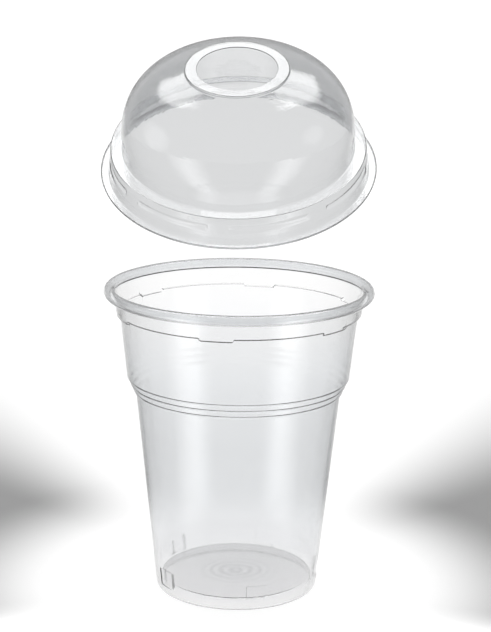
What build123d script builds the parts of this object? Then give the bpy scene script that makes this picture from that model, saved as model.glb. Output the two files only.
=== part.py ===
from build123d import *
import os
from math import degrees, sqrt

# A clear thermoformed drinking cup with a domed press-on lid, in millimetres.
# Z is up and the origin is the centre of the circle that the cup stands on.
# The cup and the lid are each one sheet of plastic, formed over a tool, so each is one solid.
# The lid is off: it is held above the cup, set back and tipped towards the front (-Y).
# Heights are stacked down from the rim and radii stepped in from it, so both follow the cup's size.

# --- the cup ------------------------------------------------------------------------------
CUP_HEIGHT = 110.3
CUP_WALL = 0.38
RIM_R = 47.5               # outside of the rolled rim of a 95 mm cup
ROLL_R = 1.87              # outside radius of the curl, in section
CURL_TURN = 285.0          # how far the edge is curled round, in degrees
NECK_HEIGHT = 9.1          # top of the rim above the ledge that the next cup in a stack stops on
COLLAR_HEIGHT = 21.9       # that ledge above the stepped shoulder
SHOULDER_HEIGHT = 7.1
SHOULDER_STEPS = 3
STEP_TREAD = 0.9           # share of a shoulder step's width that its slanting top takes
STEP_SLANT = 0.4           # share of a shoulder step's height that it rises by there
NECK_INSET = 4.3           # the rim's outside to the neck's outside, at the ledge
LEDGE_WIDTH = 1.25
COLLAR_TAPER = 2.35        # how much narrower the collar is at its bottom, on the radius
SHOULDER_WIDTH = 3.25
BODY_TAPER = 7.5           # how much narrower the lower body is at the foot, on the radius
FOOT_FOLD = 2.1            # width of the fold that the cup stands on
FOOT_BEND = 0.9
FLOOR_RISE = 3.5           # underside of the floor above the standing edge
BEND = 0.6                 # usual bend in the sheet

# --- the stops that keep stacked cups from jamming ----------------------------------------
TABS = 6                   # places where the ledge drops a little
TAB_TURN = 15.5            # width of each, in degrees
TAB_DROP = 0.8
TAB_START = -100.0         # middle of the first, in degrees from +X
LUGS = 5                   # square dents at the foot
LUG_WIDTH = 7.2
LUG_BOTTOM = 3.4
LUG_TOP = 9.2
LUG_DEPTH = 1.1
LUG_START = -75.5

# --- the lid ------------------------------------------------------------------------------
LID_WALL = 0.28
LID_FIT = 0.12             # room between the skirt and the rolled rim, all round
SKIRT_DEPTH = 10.5         # top of the flat step above the underside of the brim
SKIRT_TAPER = 0.45         # how far the skirt leans in beside the rolled rim
SKIRT_FLARE = 0.7          # how much wider the skirt is at the brim
STEP_WIDTH = 4.3           # the flat step that lies on the rolled rim
BRIM_WIDTH = 3.0
LIP_HEIGHT = 0.9           # the edge of the brim is turned up by this much
LID_BEND = 0.4             # usual bend in the lid's sheet
DOME_HEIGHT = 43.0         # top of the dome above the underside of the brim
DOME_DRAFT = 0.15          # how far the dome's side leans in, up to the corner it would have unrounded
DOME_CROWN = 7.95          # how far the dome's top rises from that corner to the raised ring
DOME_BEND = 23.0           # the large bend between the dome's side and its top
TOP_RING_R = 19.0
TOP_RING_STEP = 0.8
TOP_RING_WIDTH = 4.15      # from the edge of the hole to the outside of the raised ring
SNAPS = 8                  # dents that snap in under the rolled rim
SNAP_TURN = 35.0
SNAP_START = -75.5
SNAP_R = 0.9
SNAP_REACH = 0.45          # how far each dent comes in past the rim's outside

# --- where the lid is held ----------------------------------------------------------------
LID_TIP = 25.56            # towards the front, in degrees
LID_LEAN = -1.2            # to the left, in degrees
LID_SIDE = -0.9
LID_BACK = 53.5
LID_LIFT = 33.2            # middle of the brim above the top of the rim

# --- worked out from the sizes above ------------------------------------------------------
ROLL_CENTRE_R = RIM_R - ROLL_R
ROLL_CENTRE_Z = CUP_HEIGHT - ROLL_R
CURL_R = ROLL_R - CUP_WALL                 # underside of the sheet, in the curl
LEDGE_Z = CUP_HEIGHT - NECK_HEIGHT
COLLAR_Z = LEDGE_Z - COLLAR_HEIGHT         # bottom of the collar
SHOULDER_Z = COLLAR_Z - SHOULDER_HEIGHT    # top of the lower body
NECK_R = RIM_R - NECK_INSET                # outside of the neck, just above the ledge
COLLAR_TOP_R = NECK_R - LEDGE_WIDTH
COLLAR_R = COLLAR_TOP_R - COLLAR_TAPER
SHOULDER_R = COLLAR_R - SHOULDER_WIDTH
FOOT_R = SHOULDER_R - BODY_TAPER           # outside of the standing edge, before it is rounded
SKIRT_R = RIM_R + LID_FIT + LID_WALL       # outside of the skirt, level with the roll's middle
STEP_R = SKIRT_R - SKIRT_TAPER
DOME_R = STEP_R - STEP_WIDTH
BRIM_INNER_R = SKIRT_R + SKIRT_FLARE
BRIM_R = BRIM_INNER_R + BRIM_WIDTH
SEAT_Z = SKIRT_DEPTH - LID_WALL            # the top of the rim, when the lid is on
HOLE_R = TOP_RING_R - TOP_RING_WIDTH


def spun(section, turn=360.0, middle=0.0):
    """A section drawn as (radius, height), swept round Z by turn degrees about middle."""
    return Rot(0, 0, middle - turn / 2) * revolve(Plane.XZ * section, Axis.Z, turn)


def sheet_section(line, wall):
    """The section of a formed sheet: a line, and the same line again one wall to its left."""
    return make_face(line.offset_2d(wall, kind=Kind.INTERSECTION, side=Side.LEFT).edges())


def inner_room(line, wall):
    """Everything between the Z axis and the left side of a formed sheet, in section."""
    inner = line.offset_2d(wall, kind=Kind.INTERSECTION, side=Side.LEFT, closed=False)
    ends = sorted([inner @ 0, inner @ 1], key=lambda end: end.X)
    axis_run = Polyline(ends[1], (0, ends[1].Y), ends[0])
    return make_face([*inner.edges(), *axis_run.edges()])


def section_box(r_low, r_high, z_low, z_high):
    """A rectangle in section."""
    return Pos((r_low + r_high) / 2, (z_low + z_high) / 2) * Rectangle(r_high - r_low, z_high - z_low)


def cup_line():
    """The outside of the cup, from the middle of the floor up to the curl."""
    step_r = (COLLAR_R - SHOULDER_R) / SHOULDER_STEPS
    step_z = (COLLAR_Z - SHOULDER_Z) / SHOULDER_STEPS
    points = [
        (0, FLOOR_RISE),
        (FOOT_R - FOOT_FOLD, FLOOR_RISE),
        (FOOT_R - FOOT_FOLD, 0),
        (FOOT_R, 0),
        (SHOULDER_R, SHOULDER_Z),
    ]
    bends = [BEND, FOOT_BEND, FOOT_BEND, BEND]
    for step in range(SHOULDER_STEPS):
        start_r = SHOULDER_R + step * step_r
        start_z = SHOULDER_Z + step * step_z
        points += [
            (start_r + STEP_TREAD * step_r, start_z + STEP_SLANT * step_z),
            (start_r + step_r, start_z + step_z),
        ]
        bends += [BEND, BEND]
    points += [
        (COLLAR_TOP_R, LEDGE_Z - BEND / 2),
        (NECK_R, LEDGE_Z),
        (ROLL_CENTRE_R - CURL_R, ROLL_CENTRE_Z),
    ]
    bends += [BEND / 2, BEND]
    return FilletPolyline(*points, radius=bends)


def make_cup():
    """One sheet: floor, foot, wall, stepped shoulder, collar, ledge, neck and curled rim."""
    wall_line = cup_line()
    curl = CenterArc((ROLL_CENTRE_R, ROLL_CENTRE_Z), CURL_R, 180, -CURL_TURN)
    whole_line = Wire([*wall_line.edges(), *curl.edges()])
    cup = spun(sheet_section(whole_line, CUP_WALL))
    room = spun(inner_room(wall_line, CUP_WALL))
    for tab in range(TABS):
        cup = with_tab(cup, TAB_START + tab * 360 / TABS)
    for lug in range(LUGS):
        cup = with_lug(cup, room, LUG_START + lug * 360 / LUGS)
    return cup


def with_tab(cup, middle):
    """The cup with its ledge dropped over a short arc, as a hollow bump under the ledge."""
    in_wall_r = COLLAR_TOP_R - CUP_WALL / 2
    low_z = LEDGE_Z - TAB_DROP
    high_z = LEDGE_Z + CUP_WALL + BEND
    end = degrees(CUP_WALL / NECK_R)
    bump = section_box(in_wall_r, NECK_R, low_z, LEDGE_Z)
    hollow = section_box(in_wall_r - CUP_WALL, NECK_R - CUP_WALL, low_z + CUP_WALL, high_z)
    cup += spun(bump, TAB_TURN, middle)
    return cup - spun(hollow, TAB_TURN - 2 * end, middle)


def with_lug(cup, room, middle):
    """The cup with a square dent pushed in at its foot, its bottom and sides one wall thick."""
    middle_z = (LUG_BOTTOM + LUG_TOP) / 2
    height = LUG_TOP - LUG_BOTTOM
    wall_r = FOOT_R + (SHOULDER_R - FOOT_R) * middle_z / SHOULDER_Z
    place = Rot(0, 0, middle) * Pos(wall_r - LUG_DEPTH, 0, middle_z)
    outwards = (Align.MIN, Align.CENTER, Align.CENTER)
    dent = place * Box(RIM_R, LUG_WIDTH, height, align=outwards)
    skin_size = (RIM_R, LUG_WIDTH + 2 * CUP_WALL, height + 2 * CUP_WALL)
    skin = place * Pos(-CUP_WALL, 0, 0) * Box(*skin_size, align=outwards)
    return cup - dent + ((skin & room) - dent)


def lid_line():
    """The top side of the lid, from the brim's lip in and up to the edge of the hole."""
    ring_foot_z = DOME_HEIGHT - TOP_RING_STEP
    points = [
        (BRIM_R - LID_WALL, LIP_HEIGHT),
        (BRIM_R - LID_WALL, LID_WALL),
        (BRIM_INNER_R, LID_WALL),
        (SKIRT_R, SEAT_Z - ROLL_R),
        (STEP_R, SKIRT_DEPTH),
        (DOME_R, SKIRT_DEPTH),
        (DOME_R - DOME_DRAFT, ring_foot_z - DOME_CROWN),
        (TOP_RING_R, ring_foot_z),
        (TOP_RING_R, DOME_HEIGHT),
        (HOLE_R, DOME_HEIGHT),
    ]
    bends = [LID_BEND] * 5 + [DOME_BEND] + [LID_BEND] * 2
    return FilletPolyline(*points, radius=bends)


def with_snap(lid, room, middle):
    """The lid with a long dent in its skirt, which snaps in under the rolled rim."""
    out_r = RIM_R - SNAP_REACH + LID_WALL + SNAP_R
    apart = ROLL_R + LID_FIT + LID_WALL + SNAP_R
    out_z = SEAT_Z - ROLL_R - sqrt(apart**2 - (out_r - ROLL_CENTRE_R) ** 2)
    end = degrees(LID_WALL / out_r)
    groove = spun(Pos(out_r, out_z) * Circle(SNAP_R), SNAP_TURN, middle)
    skin = spun(Pos(out_r, out_z) * Circle(SNAP_R + LID_WALL), SNAP_TURN + 2 * end, middle)
    return lid - groove + ((skin & room) - groove)


def make_lid():
    """One sheet: lip, brim, skirt, flat step, dome, raised ring and hole, with its snap dents."""
    line = lid_line()
    lid = spun(sheet_section(line, LID_WALL))
    room = spun(inner_room(line, LID_WALL))
    for snap in range(SNAPS):
        lid = with_snap(lid, room, SNAP_START + snap * 360 / SNAPS)
    return lid


held = Pos(LID_SIDE, LID_BACK, CUP_HEIGHT + LID_LIFT) * Rot(LID_TIP, LID_LEAN, 0)
os.makedirs("parts", exist_ok=True)
export_step(make_cup(), "parts/cup.step")
export_step(held * make_lid(), "parts/dome_lid.step")
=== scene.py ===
"""The looks of a clear disposable cup and its domed lid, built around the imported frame.

Both pieces are thin sheets of plastic formed over a tool, so each is drawn the same way: a line in
section (radius, height), the same line one wall further in, swept round the axis on a grid, and dented
where the tool has a stop or a snap. Sizes are in millimetres until the mesh is made.
"""

import bpy
import numpy as np
from mathutils import Matrix, Vector


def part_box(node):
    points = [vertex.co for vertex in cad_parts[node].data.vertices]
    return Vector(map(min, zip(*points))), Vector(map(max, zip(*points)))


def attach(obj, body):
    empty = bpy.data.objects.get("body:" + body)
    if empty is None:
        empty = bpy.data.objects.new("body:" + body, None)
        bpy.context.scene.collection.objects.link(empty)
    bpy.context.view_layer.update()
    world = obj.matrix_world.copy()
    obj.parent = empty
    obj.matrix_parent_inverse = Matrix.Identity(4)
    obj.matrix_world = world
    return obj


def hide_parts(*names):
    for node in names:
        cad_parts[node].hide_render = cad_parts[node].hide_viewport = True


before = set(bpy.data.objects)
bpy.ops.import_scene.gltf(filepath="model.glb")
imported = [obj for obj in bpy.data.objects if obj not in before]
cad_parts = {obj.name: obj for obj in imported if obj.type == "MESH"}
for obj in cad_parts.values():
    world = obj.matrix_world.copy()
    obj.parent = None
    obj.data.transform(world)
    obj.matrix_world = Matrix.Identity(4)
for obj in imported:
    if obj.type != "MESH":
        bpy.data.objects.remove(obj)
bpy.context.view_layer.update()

MM = 0.001

# --- sizes taken from the frame -----------------------------------------------------------------
cup_low, cup_high = (np.array(corner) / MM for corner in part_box("cup"))
CUP_HEIGHT = cup_high[2]
RIM_R = (cup_high[0] - cup_low[0]) / 2

# --- the cup -------------------------------------------------------------------------------------
CUP_WALL = 0.38
ROLL_R = 1.87
CURL_TURN = 285.0
NECK_HEIGHT, COLLAR_HEIGHT, SHOULDER_HEIGHT = 9.1, 21.9, 7.1
NECK_INSET, LEDGE_WIDTH, COLLAR_TAPER, SHOULDER_WIDTH, BODY_TAPER = 4.3, 1.25, 2.35, 3.25, 7.5
LEDGE_Z = CUP_HEIGHT - NECK_HEIGHT
COLLAR_Z = LEDGE_Z - COLLAR_HEIGHT
SHOULDER_Z = COLLAR_Z - SHOULDER_HEIGHT
SHOULDER_STEPS, STEP_TREAD, STEP_SLANT = 3, 0.9, 0.4
NECK_R = RIM_R - NECK_INSET
COLLAR_TOP_R = NECK_R - LEDGE_WIDTH
COLLAR_R = COLLAR_TOP_R - COLLAR_TAPER
SHOULDER_R = COLLAR_R - SHOULDER_WIDTH
FOOT_R = SHOULDER_R - BODY_TAPER
FOOT_FOLD, FOOT_BEND = 2.1, 0.9
FLOOR_RISE = 3.5
BEND = 0.6
TABS, TAB_TURN, TAB_DROP, TAB_START = 6, 15.5, 0.8, -100.0
LUGS, LUG_WIDTH, LUG_DEPTH, LUG_START = 5, 7.2, 1.1, -75.5
LUG_MARGIN, LUG_ROW = 1.2, 0.33
LUG_BOTTOM, LUG_TOP = 3.4, 9.2
LUG_TURN = np.degrees(LUG_WIDTH / FOOT_R)
RIPPLE_HEIGHT, RIPPLE_PITCH, RIPPLE_R, RIPPLE_ROW = 0.07, 3.4, 16.0, 0.8
# The next two paint grey rings on the floor's ripple: painted shade of the rings, which the raised ripple is
# too faint to show.
RIPPLE_SHADE, RIPPLE_SHADE_COLOUR = 0.5, "D0D1D3"
CURL_POINTS = 28

# The tint at each share of the cup's height.
# Over a faint grey of the sheet's own, the greyer body and rim are painted shade: a darker backdrop behind
# the body, and the rolled rim's dark edges.
HAZE_AND_SHADE_STOPS = (
    (0.0, "FEFEFE"), (0.06, "F9F9FA"), (0.2, "F4F5F6"), (0.55, "F3F4F5"),
    (0.78, "FBFCFD"), (0.93, "FEFEFE"), (0.965, "FEFEFE"), (0.975, "F4F5F6"),
)

# --- the lid -------------------------------------------------------------------------------------
LID_WALL = 0.28
SKIRT_DEPTH, SKIRT_TAPER, SKIRT_FLARE = 10.5, 0.45, 0.7
STEP_WIDTH = 4.3
BRIM_WIDTH = 3.0
LIP_HEIGHT = 0.9
LID_BEND = 0.4
DOME_HEIGHT, DOME_DRAFT, DOME_CROWN, DOME_BEND = 43.0, 0.15, 7.95, 23.0
TOP_RING_R, TOP_RING_STEP, TOP_RING_WIDTH = 19.0, 0.8, 4.15
SNAPS, SNAP_TURN, SNAP_START = 8, 35.0, -75.5
SNAP_HALF_HEIGHT, SNAP_DEPTH, SNAP_DROP = 1.0, 0.75, 3.65
LID_FIT = 0.12
LID_TIP, LID_LEAN = 25.56, -1.2
LID_SIDE, LID_BACK, LID_LIFT = -0.9, 53.5, 33.2


def linear(hex_colour):
    """An sRGB hex colour as the linear red, green, blue and alpha that shaders take."""
    channels = np.array([int(hex_colour[i:i + 2], 16) for i in (0, 2, 4)]) / 255
    low, high = channels / 12.92, ((channels + 0.055) / 1.055) ** 2.4
    return (*np.where(channels <= 0.04045, low, high), 1.0)


# --- lines in section ----------------------------------------------------------------------------

def arc(centre, radius, start, end, count):
    """Points on a circle about centre, from start to end in degrees, ends included."""
    turn = np.radians(np.linspace(start, end, count))
    return np.column_stack([centre[0] + radius * np.cos(turn), centre[1] + radius * np.sin(turn)])


def bent(points, bends, run_step=4.0, turn_step=14.0):
    """A line through points with each inner corner rounded to its bend.

    At a corner that turns by a, the arc starts bend * tan(a / 2) before it. Its points are the corner's
    centre plus bend times the turning normal. Straight runs are split so that none is over run_step.
    """
    points = np.asarray(points, float)
    stops = [points[:1]]
    turn_steps = np.broadcast_to(turn_step, len(bends))
    for before, corner, after, bend, step in zip(points, points[1:], points[2:], bends, turn_steps):
        into = (corner - before) / np.linalg.norm(corner - before)
        out = (after - corner) / np.linalg.norm(after - corner)
        turn = np.arctan2(into[0] * out[1] - into[1] * out[0], into @ out)
        side = np.sign(turn)
        begin = corner - into * bend * np.tan(abs(turn) / 2)
        centre = begin + side * bend * np.array([-into[1], into[0]])
        spread = np.linspace(0, turn, max(2, int(np.ceil(np.degrees(abs(turn)) / step)) + 1))
        spoke = begin - centre
        stops.append(np.column_stack([
            centre[0] + spoke[0] * np.cos(spread) - spoke[1] * np.sin(spread),
            centre[1] + spoke[0] * np.sin(spread) + spoke[1] * np.cos(spread),
        ]))
    stops.append(points[-1:])
    return split_runs(np.vstack(stops), run_step)


def split_runs(line, run_step, guard=0.12):
    """The same line with every run over run_step cut into equal parts.

    A guard point close to each end of a long run keeps the bend beside it from shading the flat.
    """
    lengths = np.linalg.norm(np.diff(line, axis=0), axis=1)
    stops = []
    for k, length in enumerate(lengths):
        parts = max(1, int(np.ceil(length / run_step)))
        share = np.arange(parts) / parts
        if length > 5 * guard:
            share = np.concatenate([[0, guard / length], share[1:], [1 - guard / length]])
        stops.append(k + share)
    at = np.concatenate([*stops, [len(line) - 1]])
    whole = np.arange(len(line))
    return np.column_stack([np.interp(at, whole, line[:, 0]), np.interp(at, whole, line[:, 1])])


def beside(line, wall):
    """The line moved one wall to its left, along the normal of each point's two neighbours."""
    ahead = np.gradient(line, axis=0)
    ahead /= np.linalg.norm(ahead, axis=1, keepdims=True)
    return line + wall * np.column_stack([-ahead[:, 1], ahead[:, 0]])


def edge_round(outer_end, inner_end, count=5):
    """The half circle that closes a sheet's cut edge, between its two sides."""
    middle = (outer_end + inner_end) / 2
    spoke = outer_end - middle
    across = np.array([-spoke[1], spoke[0]])
    turn = np.radians(np.linspace(0, 180, count + 2)[1:-1])[:, None]
    return middle + spoke * np.cos(turn) + across * np.sin(turn)


# --- dents, as a share from 0 to 1 ---------------------------------------------------------------

def smooth(share):
    """A step from 0 to 1 with level ends."""
    share = np.clip(share, 0, 1)
    return share * share * (3 - 2 * share)


def band(value, low, high, soft):
    """1 between low and high, and 0 once soft outside them."""
    return smooth((value - low) / soft + 1) * smooth((high - value) / soft + 1)


def repeated(angle, count, width, start, soft):
    """1 within width degrees about start and each further count-th of a turn, fading over soft."""
    pitch = 360.0 / count
    away = np.abs((angle - start + pitch / 2) % pitch - pitch / 2)
    return smooth((width / 2 - away) / soft + 0.5)


# --- meshes --------------------------------------------------------------------------------------

def turns_with(count, edges, reach=0.8, extra=4):
    """Angles all round: count equal ones, and extra more within reach of each edge, for crisp dents."""
    near = np.add.outer(np.asarray(edges), np.linspace(-reach, reach, extra)).ravel() % 360
    return np.unique(np.round(np.concatenate([np.arange(count) * 360.0 / count, near]), 2))


def both_edges(count, width, start):
    """The two edges of each of count dents, width degrees wide, the first one about start."""
    middles = start + np.arange(count) * 360.0 / count
    return np.concatenate([middles - width / 2, middles + width / 2])


def swept(name, loop, dent, angle, poles, place=Matrix.Identity(4)):
    """A closed shell: a loop in section swept round Z.

    A point (r, z) of the loop goes to (r cos t, r sin t, z) at each turn t, after dent(r, z, t) has moved
    r and z. With poles, the loop's first and last points lie on the axis and each is one vertex.
    """
    turns = len(angle)
    ring = loop[1:-1] if poles else loop
    r, t = np.meshgrid(ring[:, 0], angle, indexing="ij")
    z = np.meshgrid(ring[:, 1], angle, indexing="ij")[0]
    r, z = dent(r, z, t)
    vertices = np.stack([r * np.cos(np.radians(t)), r * np.sin(np.radians(t)), z], -1).reshape(-1, 3)
    rows = len(ring)
    row = np.arange(rows - 1 if poles else rows)[:, None]
    column = np.arange(turns)[None, :]
    following = (row + 1) % rows
    beyond = (column + 1) % turns
    quads = np.stack([
        row * turns + column,
        row * turns + beyond,
        following * turns + beyond,
        following * turns + column,
    ], -1).reshape(-1, 4)
    faces = quads.tolist()
    if poles:
        ends = np.array([[0, 0, loop[0, 1]], [0, 0, loop[-1, 1]]])
        vertices = np.vstack([vertices, ends])
        first, last = len(vertices) - 2, len(vertices) - 1
        low, high = column[0], beyond[0]
        top = (rows - 1) * turns
        faces += np.column_stack([np.full(turns, first), high, low]).tolist()
        faces += np.column_stack([top + low, top + high, np.full(turns, last)]).tolist()
    mesh = bpy.data.meshes.new(name)
    mesh.from_pydata((vertices * MM).tolist(), [], faces)
    mesh.transform(place)
    mesh.update()
    mesh.shade_smooth()
    piece = bpy.data.objects.new(name, mesh)
    bpy.context.scene.collection.objects.link(piece)
    return piece


def sheet_loop(line, wall):
    """A sheet's section as one loop: out along the line, round its cut edge, back along the inside."""
    inside = beside(line, wall)
    return np.vstack([line, edge_round(line[-1], inside[-1]), inside[::-1]])


# --- the cup -------------------------------------------------------------------------------------

def cup_line():
    """The outside of the cup in section, from the middle of its floor to the end of the curl."""
    slope = (SHOULDER_R - FOOT_R) / SHOULDER_Z
    lug_z = np.arange(LUG_BOTTOM - LUG_MARGIN, LUG_TOP + LUG_MARGIN, LUG_ROW)
    wall = np.column_stack([FOOT_R + slope * lug_z, lug_z])
    middle_r = np.arange(0, RIPPLE_R, RIPPLE_ROW)
    middle = np.column_stack([middle_r, np.full(len(middle_r), FLOOR_RISE)])
    foot = bent(
        [middle[-1], (FOOT_R - FOOT_FOLD, FLOOR_RISE), (FOOT_R - FOOT_FOLD, 0), (FOOT_R, 0), wall[0]],
        [BEND, FOOT_BEND, FOOT_BEND],
    )
    foot = np.vstack([middle[:-1], foot])
    step_r = (COLLAR_R - SHOULDER_R) / SHOULDER_STEPS
    step_z = (COLLAR_Z - SHOULDER_Z) / SHOULDER_STEPS
    points = [wall[-1], (SHOULDER_R, SHOULDER_Z)]
    bends = [BEND]
    for step in range(SHOULDER_STEPS):
        start_r, start_z = SHOULDER_R + step * step_r, SHOULDER_Z + step * step_z
        points += [
            (start_r + STEP_TREAD * step_r, start_z + STEP_SLANT * step_z),
            (start_r + step_r, start_z + step_z),
        ]
        bends += [BEND, BEND]
    roll_r, roll_z = RIM_R - ROLL_R, CUP_HEIGHT - ROLL_R
    points += [(COLLAR_TOP_R, LEDGE_Z - BEND / 2), (NECK_R, LEDGE_Z), (roll_r - ROLL_R + CUP_WALL, roll_z)]
    bends += [BEND / 2, BEND]
    curl = arc((roll_r, roll_z), ROLL_R - CUP_WALL, 180, 180 - CURL_TURN, CURL_POINTS)
    return np.vstack([foot[:-1], wall, bent(points, bends)[1:-1], curl])


def cup_dents(r, z, t):
    """The ledge dropped at its tabs, the wall pushed in at the lugs, and faint rings in the floor."""
    tab = repeated(t, TABS, TAB_TURN, TAB_START, 0.8)
    z = z - TAB_DROP * tab * band(z, LEDGE_Z - 0.8, LEDGE_Z + 0.8, 1.0)
    lug = repeated(t, LUGS, LUG_TURN, LUG_START, 0.8) * (r > FOOT_R - 1.2)
    r = r - LUG_DEPTH * lug * band(z, LUG_BOTTOM + 0.3, LUG_TOP - 0.3, 0.35)
    ripple = np.cos(2 * np.pi * r / RIPPLE_PITCH) * smooth(1 - r / RIPPLE_R) * (z < FLOOR_RISE + 1)
    return r, z + RIPPLE_HEIGHT * ripple * (r < RIPPLE_R)


# --- the lid -------------------------------------------------------------------------------------

def lid_line():
    """The top side of the lid in section, from its lip, up the skirt and dome, to the hole."""
    skirt_r = RIM_R + LID_FIT + LID_WALL
    brim_r = skirt_r + SKIRT_FLARE + BRIM_WIDTH
    step_r = skirt_r - SKIRT_TAPER
    dome_r = step_r - STEP_WIDTH
    hole_r = TOP_RING_R - TOP_RING_WIDTH
    seat_z = SKIRT_DEPTH - LID_WALL
    ring_foot_z = DOME_HEIGHT - TOP_RING_STEP
    points = [
        (brim_r - LID_WALL, LIP_HEIGHT),
        (brim_r - LID_WALL, LID_WALL),
        (skirt_r + SKIRT_FLARE, LID_WALL),
        (skirt_r, seat_z - ROLL_R),
        (step_r, SKIRT_DEPTH),
        (dome_r, SKIRT_DEPTH),
        (dome_r - DOME_DRAFT, ring_foot_z - DOME_CROWN),
        (TOP_RING_R, ring_foot_z),
        (TOP_RING_R, DOME_HEIGHT),
        (hole_r, DOME_HEIGHT),
    ]
    bends = [LID_BEND] * 5 + [DOME_BEND] + [LID_BEND] * 2
    return bent(points, bends, run_step=0.7, turn_step=[14.0] * 5 + [2.5] + [14.0] * 2)


def lid_dents(r, z, t):
    """The skirt pushed in where it snaps under the rolled rim: a rounded groove, deepest at its middle."""
    snap_z = SKIRT_DEPTH - LID_WALL - SNAP_DROP
    snap = repeated(t, SNAPS, SNAP_TURN, SNAP_START, 1.5) * (r > RIM_R - 1)
    groove = np.clip(1 - ((z - snap_z) / SNAP_HALF_HEIGHT) ** 2, 0, 1)
    return r - SNAP_DEPTH * snap * groove, z


def lid_loop():
    """The lid's section as a closed loop, with its lip and the edge of its hole rounded."""
    line = lid_line()
    inside = beside(line, LID_WALL)
    hole = edge_round(line[-1], inside[-1])
    lip = edge_round(inside[0], line[0])
    return np.vstack([line, hole, inside[::-1], lip])


# --- materials -----------------------------------------------------------------------------------

def added(tree, kind, settings=None, links=None):
    """A node with its settings, by socket or attribute, and its links, by socket, as names or numbers."""
    node = tree.nodes.new(kind)
    for key, value in (settings or {}).items():
        if isinstance(key, int) or key in node.inputs:
            node.inputs[key].default_value = value
        else:
            setattr(node, key, value)
    for key, source in (links or {}).items():
        tree.links.new(source, node.inputs[key])
    return node


def clear_plastic(name, ior, roughness, absorbed, density, wave_mm, stretch, wave_height):
    """A clear sheet: it bends and mirrors light at both faces and greys it a little inside.

    The sheet's faint unevenness is noise with waves wave_mm wide and stretch times as tall.
    """
    material = bpy.data.materials.new(name)
    material.use_nodes = True
    tree = material.node_tree
    tree.nodes.clear()
    place = added(tree, "ShaderNodeTexCoord")
    waves = added(tree, "ShaderNodeMapping", {
        "Scale": (1 / (wave_mm * MM), 1 / (wave_mm * MM), 1 / (wave_mm * stretch * MM)),
    }, {"Vector": place.outputs["Object"]})
    uneven = added(tree, "ShaderNodeTexNoise", {"Scale": 1.0, "Detail": 2.0}, {"Vector": waves.outputs[0]})
    bump = added(tree, "ShaderNodeBump", {"Strength": 1.0, "Distance": wave_height * MM}, {
        "Height": uneven.outputs["Fac"],
    })
    shader = added(tree, "ShaderNodeBsdfPrincipled", {
        "Roughness": roughness,
        "IOR": ior,
        "Transmission Weight": 1.0,
    }, {"Normal": bump.outputs[0]})
    inside = added(tree, "ShaderNodeVolumeAbsorption", {"Color": linear(absorbed), "Density": density})
    out = added(tree, "ShaderNodeOutputMaterial")
    tree.links.new(shader.outputs[0], out.inputs["Surface"])
    tree.links.new(inside.outputs[0], out.inputs["Volume"])
    return material, tree, shader, place


def polypropylene():
    """Thermoformed clear polypropylene: a soft gloss, and a faint grey tint that changes with height, partly
    painted shade.

    The height stops give the tint: most in the body, least at the neck, and a little in the rim. Over a faint
    grey of the sheet's own, the greyer body and rim are painted shade, standing in for a darker backdrop
    behind the body and the dark edges of the rolled rim. It isn't worked out from the forming. The rings
    RIPPLE_PITCH apart in the middle of the floor are raised and also painted grey, as painted shade of the
    rings, because the ripple alone is too faint to show.
    """
    material, tree, shader, place = clear_plastic(
        "polypropylene_thermoformed", ior=1.49, roughness=0.07, absorbed="808080", density=150.0,
        wave_mm=9.0, stretch=12.0, wave_height=0.08)
    parts = added(tree, "ShaderNodeSeparateXYZ", links={"Vector": place.outputs["Object"]})
    height = added(tree, "ShaderNodeMath", {"operation": "DIVIDE", 1: CUP_HEIGHT * MM}, {
        0: parts.outputs["Z"],
    })
    # The tint by height: a faint grey of the sheet's own, with painted shade in the body and the rim.
    haze_and_shade = added(tree, "ShaderNodeValToRGB", links={"Fac": height.outputs[0]})
    ramp = haze_and_shade.color_ramp
    for at, colour in HAZE_AND_SHADE_STOPS[2:]:
        ramp.elements.new(at)
    for element, (at, colour) in zip(ramp.elements, HAZE_AND_SHADE_STOPS):
        element.position = at
        element.color = linear(colour)
    # Grey rings in the middle of the floor: painted shade of the ripple rings, mixed into the tint below.
    rings = added(tree, "ShaderNodeTexWave", {
        "wave_type": "RINGS", "rings_direction": "Z",
        "Scale": 2 * np.pi / (20 * RIPPLE_PITCH * MM),
        "Distortion": 3.5, "Detail": 1.0, "Detail Scale": 0.8,
    }, {"Vector": place.outputs["Object"]})
    low = added(tree, "ShaderNodeMath", {"operation": "LESS_THAN", 1: (FLOOR_RISE + 1) * MM}, {
        0: parts.outputs["Z"],
    })
    out = added(tree, "ShaderNodeVectorMath", {"operation": "LENGTH"}, {0: place.outputs["Object"]})
    inner = added(tree, "ShaderNodeMapRange", {
        "From Min": RIPPLE_R * MM, "From Max": 0.3 * RIPPLE_R * MM, "To Min": 0.0, "To Max": RIPPLE_SHADE,
    }, {"Value": out.outputs["Value"]})
    share = added(tree, "ShaderNodeMath", {"operation": "MULTIPLY"}, {0: low.outputs[0], 1: inner.outputs[0]})
    ring_shade = added(tree, "ShaderNodeMath", {"operation": "MULTIPLY"}, {
        0: rings.outputs["Fac"], 1: share.outputs[0],
    })
    tint = added(tree, "ShaderNodeMix", {
        "data_type": "RGBA", "blend_type": "MIX", 7: linear(RIPPLE_SHADE_COLOUR),
    }, {0: ring_shade.outputs[0], 6: haze_and_shade.outputs["Color"]})
    tree.links.new(tint.outputs[2], shader.inputs["Base Color"])
    return material


def pet():
    """Thermoformed clear PET: a hard gloss, a grey in depth and fine waves. Tint and waves are given."""
    material, tree, shader, place = clear_plastic(
        "pet_thermoformed", ior=1.575, roughness=0.03, absorbed="808080", density=190.0,
        wave_mm=5.0, stretch=0.6, wave_height=0.07)
    # Grey base colour: mostly painted shade, standing in for the darker backdrop seen through the lid, over a
    # faint grey of the sheet's own.
    shader.inputs["Base Color"].default_value = linear("DADBDC")
    return material


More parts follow.
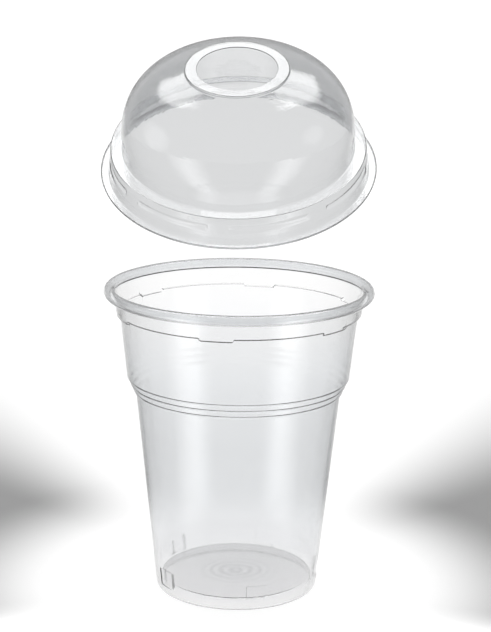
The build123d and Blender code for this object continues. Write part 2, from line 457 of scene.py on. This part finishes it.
cup_turns = turns_with(240, np.concatenate([
    both_edges(TABS, TAB_TURN, TAB_START),
    both_edges(LUGS, LUG_TURN, LUG_START),
]))
lid_turns = turns_with(288, both_edges(SNAPS, SNAP_TURN, SNAP_START))
held = (
    Matrix.Translation(Vector((LID_SIDE, LID_BACK, CUP_HEIGHT + LID_LIFT)) * MM)
    @ Matrix.Rotation(np.radians(LID_TIP), 4, "X")
    @ Matrix.Rotation(np.radians(LID_LEAN), 4, "Y")
)
cup = swept("cup_sheet", sheet_loop(cup_line(), CUP_WALL), cup_dents, cup_turns, True)
lid = swept("lid_sheet", lid_loop(), lid_dents, lid_turns, False, held)
cup.data.materials.append(polypropylene())
lid.data.materials.append(pet())
for piece, node, slot in ((cup, "cup", "cup_clear"), (lid, "dome_lid", "lid_clear")):
    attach(piece, "root")
    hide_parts(node)

# --- stage ---------------------------------------------------------------------------------------

def studio_floor():
    """A light table that glows from below, so that shadows on it stay faint.

    It isn't plain: its grey sides show in every view, the front one included. Its glow is FLOOR_GLOW
    within CUP_CLEAR of the axis. Outside that it depends on the angle a from +Y, behind the cup, and falls
    from FLOOR_GLOW to SIDE_GLOW as a goes from SIDE_FROM to SIDE_TO degrees, which gives the clear walls a
    darker edge to mirror. A pool on each side of the front adds POOL_GLOW at POOL_TURN degrees from -Y.
    """
    far = 12.0
    mesh = bpy.data.meshes.new("floor")
    corners = [(-far, -far, 0), (far, -far, 0), (far, far, 0), (-far, far, 0)]
    mesh.from_pydata(corners, [], [(0, 1, 2, 3)])
    table = bpy.data.objects.new("floor", mesh)
    bpy.context.scene.collection.objects.link(table)
    material = bpy.data.materials.new("white_acrylic_table")
    material.use_nodes = True
    tree = material.node_tree
    shader = tree.nodes["Principled BSDF"]
    shader.inputs["Base Color"].default_value = linear(FLOOR_COLOUR)
    shader.inputs["Roughness"].default_value = 0.9
    shader.inputs["Specular IOR Level"].default_value = 0.0
    shader.inputs["Emission Color"].default_value = (1, 1, 1, 1)
    place = added(tree, "ShaderNodeTexCoord")
    parts = added(tree, "ShaderNodeSeparateXYZ", links={"Vector": place.outputs["Object"]})
    across = added(tree, "ShaderNodeMath", {"operation": "ABSOLUTE"}, {0: parts.outputs["X"]})
    turn = added(tree, "ShaderNodeMath", {"operation": "ARCTAN2"}, {
        0: across.outputs[0], 1: parts.outputs["Y"],
    })
    side = added(tree, "ShaderNodeMapRange", {
        "interpolation_type": "SMOOTHSTEP",
        "From Min": np.radians(SIDE_FROM), "From Max": np.radians(SIDE_TO),
        "To Min": 0.0, "To Max": SIDE_GLOW - FLOOR_GLOW,
    }, {"Value": turn.outputs[0]})
    off = added(tree, "ShaderNodeMath", {"operation": "SUBTRACT", 1: np.radians(180 - POOL_TURN)}, {
        0: turn.outputs[0],
    })
    away = added(tree, "ShaderNodeMath", {"operation": "ABSOLUTE"}, {0: off.outputs[0]})
    pool = added(tree, "ShaderNodeMapRange", {
        "interpolation_type": "SMOOTHSTEP",
        "From Min": 0.0, "From Max": np.radians(POOL_SOFT), "To Min": POOL_GLOW, "To Max": 0.0,
    }, {"Value": away.outputs[0]})
    change = added(tree, "ShaderNodeMath", {"operation": "ADD"}, {0: side.outputs[0], 1: pool.outputs[0]})
    out = added(tree, "ShaderNodeVectorMath", {"operation": "LENGTH"}, {0: place.outputs["Object"]})
    clear_of_cup = added(tree, "ShaderNodeMapRange", {
        "interpolation_type": "SMOOTHSTEP", "From Min": CUP_CLEAR, "From Max": 2 * CUP_CLEAR,
    }, {"Value": out.outputs["Value"]})
    glow = added(tree, "ShaderNodeMath", {"operation": "MULTIPLY_ADD", 2: FLOOR_GLOW}, {
        0: change.outputs[0], 1: clear_of_cup.outputs[0],
    })
    tree.links.new(glow.outputs[0], shader.inputs["Emission Strength"])
    mesh.materials.append(material)


def studio_world():
    """Grey walls all round, a bright panel aimed from overhead, and a soft window low on each side.

    Each light is brightest where a direction, first squeezed across by the light's own share, lies on
    its aim. It holds to its inner angle from there and has faded at its outer one.
    """
    world = bpy.data.worlds.new("studio")
    bpy.context.scene.world = world
    world.use_nodes = True
    tree = world.node_tree
    background = tree.nodes["Background"]
    background.inputs["Color"].default_value = (1, 1, 1, 1)
    way = added(tree, "ShaderNodeTexCoord")
    total = None
    for aim, squeeze, inner, outer, power in STUDIO_LIGHTS:
        wide = added(tree, "ShaderNodeVectorMath", {"operation": "MULTIPLY", 1: (squeeze, 1, 1)}, {
            0: way.outputs["Generated"],
        })
        unit = added(tree, "ShaderNodeVectorMath", {"operation": "NORMALIZE"}, {0: wide.outputs[0]})
        near = added(tree, "ShaderNodeVectorMath", {
            "operation": "DOT_PRODUCT", 1: Vector(aim).normalized(),
        }, {0: unit.outputs[0]})
        light = added(tree, "ShaderNodeMapRange", {
            "interpolation_type": "SMOOTHSTEP",
            "From Min": np.cos(np.radians(outer)), "From Max": np.cos(np.radians(inner)),
            "To Min": 0.0, "To Max": power,
        }, {"Value": near.outputs["Value"]})
        sum_so_far = {0: total} if total else {}
        total = added(tree, "ShaderNodeMath", {"operation": "ADD", 0: WALL_LIGHT}, {
            **sum_so_far, 1: light.outputs[0],
        }).outputs[0]
    tree.links.new(total, background.inputs["Strength"])


FLOOR_COLOUR = "747474"
FLOOR_GLOW, SIDE_GLOW = 0.91, 0.15
SIDE_FROM, SIDE_TO = 20.0, 48.0
POOL_GLOW, POOL_TURN, POOL_SOFT = 1.7, 50.0, 24.0
CUP_CLEAR = 0.06
WALL_LIGHT = 0.55
STUDIO_LIGHTS = (
    ((0.0, 0.375, 0.927), 0.5, 14.0, 22.0, 3.4),
    ((-0.96, -0.10, 0.25), 1.0, 6.0, 20.0, 0.8),
    ((0.90, -0.23, 0.37), 1.0, 5.0, 16.0, 0.6),
)
studio_floor()
studio_world()

scene = bpy.context.scene
scene.view_settings.view_transform = "Standard"

IMAGE_HEIGHT, FOCAL_LENGTH = 632, 1794.2
SENSOR = 36.0
LOOK_DOWN, CAMERA_LEAN = 13.83, 0.7
camera_data = bpy.data.cameras.new("camera")
camera = bpy.data.objects.new("camera", camera_data)
scene.collection.objects.link(camera)
camera_data.sensor_width = SENSOR
camera_data.lens = FOCAL_LENGTH * SENSOR / IMAGE_HEIGHT
camera.location = (0.0023, -0.6135, 0.2501)
camera.rotation_euler = (
    Matrix.Rotation(np.radians(90 - LOOK_DOWN), 3, "X") @ Matrix.Rotation(np.radians(CAMERA_LEAN), 3, "Z")
).to_euler()
scene.camera = camera
